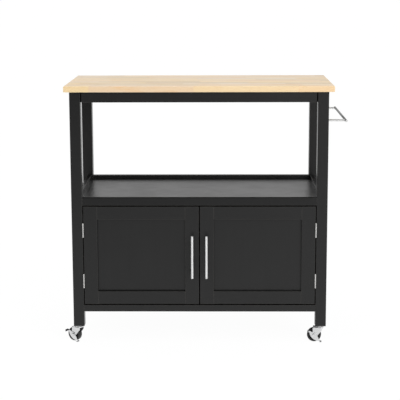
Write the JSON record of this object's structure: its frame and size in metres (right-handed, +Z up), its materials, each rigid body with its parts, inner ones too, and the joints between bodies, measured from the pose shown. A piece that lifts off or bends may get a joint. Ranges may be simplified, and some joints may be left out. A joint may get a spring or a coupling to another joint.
{
  "type": "kitchen island cart",
  "caption": "Kitchen cart with a light wood worktop on a black frame, an open mid shelf, a cabinet with hinged doors, a side towel bar and braked swivel casters.",
  "frame": {"origin": "middle of the cart's overall box, on the floor under the wheels", "axes": "+X to the cart's right as one faces the doors, +Y to the back, +Z up; the doors face -Y"},
  "size_m": [0.9924, 0.4958, 0.914],
  "materials": {
    "worktop_wood": "satin oiled light hardwood staves",
    "black_lacquer": "satin black lacquer on wood",
    "back_board": "black painted fibreboard",
    "brushed_bar": "brushed nickel",
    "hinge_steel": "satin nickel plate",
    "zinc_steel": "bright zinc plate",
    "wheel_plastic": "moulded black",
    "catch_plastic": "moulded black"
  },
  "bodies": {
    "cart_frame": {"back_panel": "back_board", "bottom_rail_front": "black_lacquer", "bottom_rail_rear": "black_lacquer", "cabinet_floor": "black_lacquer", "caster_stems": "zinc_steel", "frame_bolts": "zinc_steel", "hinge_leaves_fixed": "hinge_steel", "hinge_pins": "hinge_steel", "inner_shelf": "black_lacquer", "magnetic_catches": "catch_plastic", "post_front_left": "black_lacquer", "post_front_right": "black_lacquer", "post_rear_left": "black_lacquer", "post_rear_right": "black_lacquer", "shelf_panel": "black_lacquer", "shelf_pins": "zinc_steel", "shelf_rail_front": "black_lacquer", "shelf_rail_rear": "black_lacquer", "side_panel_left": "black_lacquer", "side_panel_right": "black_lacquer", "top_rail_front": "black_lacquer", "top_rail_left": "black_lacquer", "top_rail_rear": "black_lacquer", "top_rail_right": "black_lacquer", "towel_bar": "brushed_bar", "worktop": "worktop_wood", "worktop_brackets": "zinc_steel"},
    "door_left": {"door_left_hinge_leaves": "hinge_steel", "door_left_panel": "black_lacquer", "door_left_pull": "brushed_bar", "door_left_rail_bottom": "black_lacquer", "door_left_rail_top": "black_lacquer", "door_left_stile_hinge": "black_lacquer", "door_left_stile_pull": "black_lacquer", "door_left_strike": "hinge_steel"},
    "door_right": {"door_right_hinge_leaves": "hinge_steel", "door_right_panel": "black_lacquer", "door_right_pull": "brushed_bar", "door_right_rail_bottom": "black_lacquer", "door_right_rail_top": "black_lacquer", "door_right_stile_hinge": "black_lacquer", "door_right_stile_pull": "black_lacquer", "door_right_strike": "hinge_steel"},
    "fork_front_left": {"caster_fork_front_left": "zinc_steel", "caster_axle_front_left": "zinc_steel"},
    "wheel_front_left": {"caster_wheel_front_left": "wheel_plastic"},
    "brake_front_left": {"brake_rocker_front_left": "zinc_steel"},
    "fork_front_right": {"caster_fork_front_right": "zinc_steel", "caster_axle_front_right": "zinc_steel"},
    "wheel_front_right": {"caster_wheel_front_right": "wheel_plastic"},
    "brake_front_right": {"brake_rocker_front_right": "zinc_steel"},
    "fork_rear_left": {"caster_fork_rear_left": "zinc_steel", "caster_axle_rear_left": "zinc_steel"},
    "wheel_rear_left": {"caster_wheel_rear_left": "wheel_plastic"},
    "fork_rear_right": {"caster_fork_rear_right": "zinc_steel", "caster_axle_rear_right": "zinc_steel"},
    "wheel_rear_right": {"caster_wheel_rear_right": "wheel_plastic"}
  },
  "joints": [
    {"name": "door_left_hinge", "type": "hinge", "parent": "cart_frame", "child": "door_left", "pos_m": [-0.42427, -0.2159, 0.31675], "axis": [0, 0, -1], "range_deg": [0, 170]},
    {"name": "door_right_hinge", "type": "hinge", "parent": "cart_frame", "child": "door_right", "pos_m": [0.39273, -0.2159, 0.31675], "axis": [0, 0, 1], "range_deg": [0, 170]},
    {"name": "swivel_front_left", "type": "hinge", "parent": "cart_frame", "child": "fork_front_left", "pos_m": [-0.44477, -0.1944, 0.054], "axis": [0, 0, 1], "continuous": true},
    {"name": "spin_front_left", "type": "hinge", "parent": "fork_front_left", "child": "wheel_front_left", "pos_m": [-0.46295, -0.1839, 0.025], "axis": [0.5, 0.866, 0], "continuous": true},
    {"name": "brake_pedal_front_left", "type": "hinge", "parent": "fork_front_left", "child": "brake_front_left", "pos_m": [-0.46295, -0.1839, 0.025], "axis": [-0.5, -0.866, 0], "range_deg": [0, 15]},
    {"name": "swivel_front_right", "type": "hinge", "parent": "cart_frame", "child": "fork_front_right", "pos_m": [0.41323, -0.1944, 0.054], "axis": [0, 0, 1], "continuous": true},
    {"name": "spin_front_right", "type": "hinge", "parent": "fork_front_right", "child": "wheel_front_right", "pos_m": [0.39244, -0.19148, 0.025], "axis": [0.1392, 0.9903, 0], "continuous": true},
    {"name": "brake_pedal_front_right", "type": "hinge", "parent": "fork_front_right", "child": "brake_front_right", "pos_m": [0.39244, -0.19148, 0.025], "axis": [-0.1392, -0.9903, 0], "range_deg": [0, 15]},
    {"name": "swivel_rear_left", "type": "hinge", "parent": "cart_frame", "child": "fork_rear_left", "pos_m": [-0.44477, 0.2016, 0.054], "axis": [0, 0, 1], "continuous": true},
    {"name": "spin_rear_left", "type": "hinge", "parent": "fork_rear_left", "child": "wheel_rear_left", "pos_m": [-0.44769, 0.22239, 0.025], "axis": [0.9903, 0.1392, 0], "continuous": true},
    {"name": "swivel_rear_right", "type": "hinge", "parent": "cart_frame", "child": "fork_rear_right", "pos_m": [0.41323, 0.2016, 0.054], "axis": [0, 0, 1], "continuous": true},
    {"name": "spin_rear_right", "type": "hinge", "parent": "fork_rear_right", "child": "wheel_rear_right", "pos_m": [0.41579, 0.22244, 0.025], "axis": [0.9925, -0.1219, 0], "continuous": true}
  ]
}
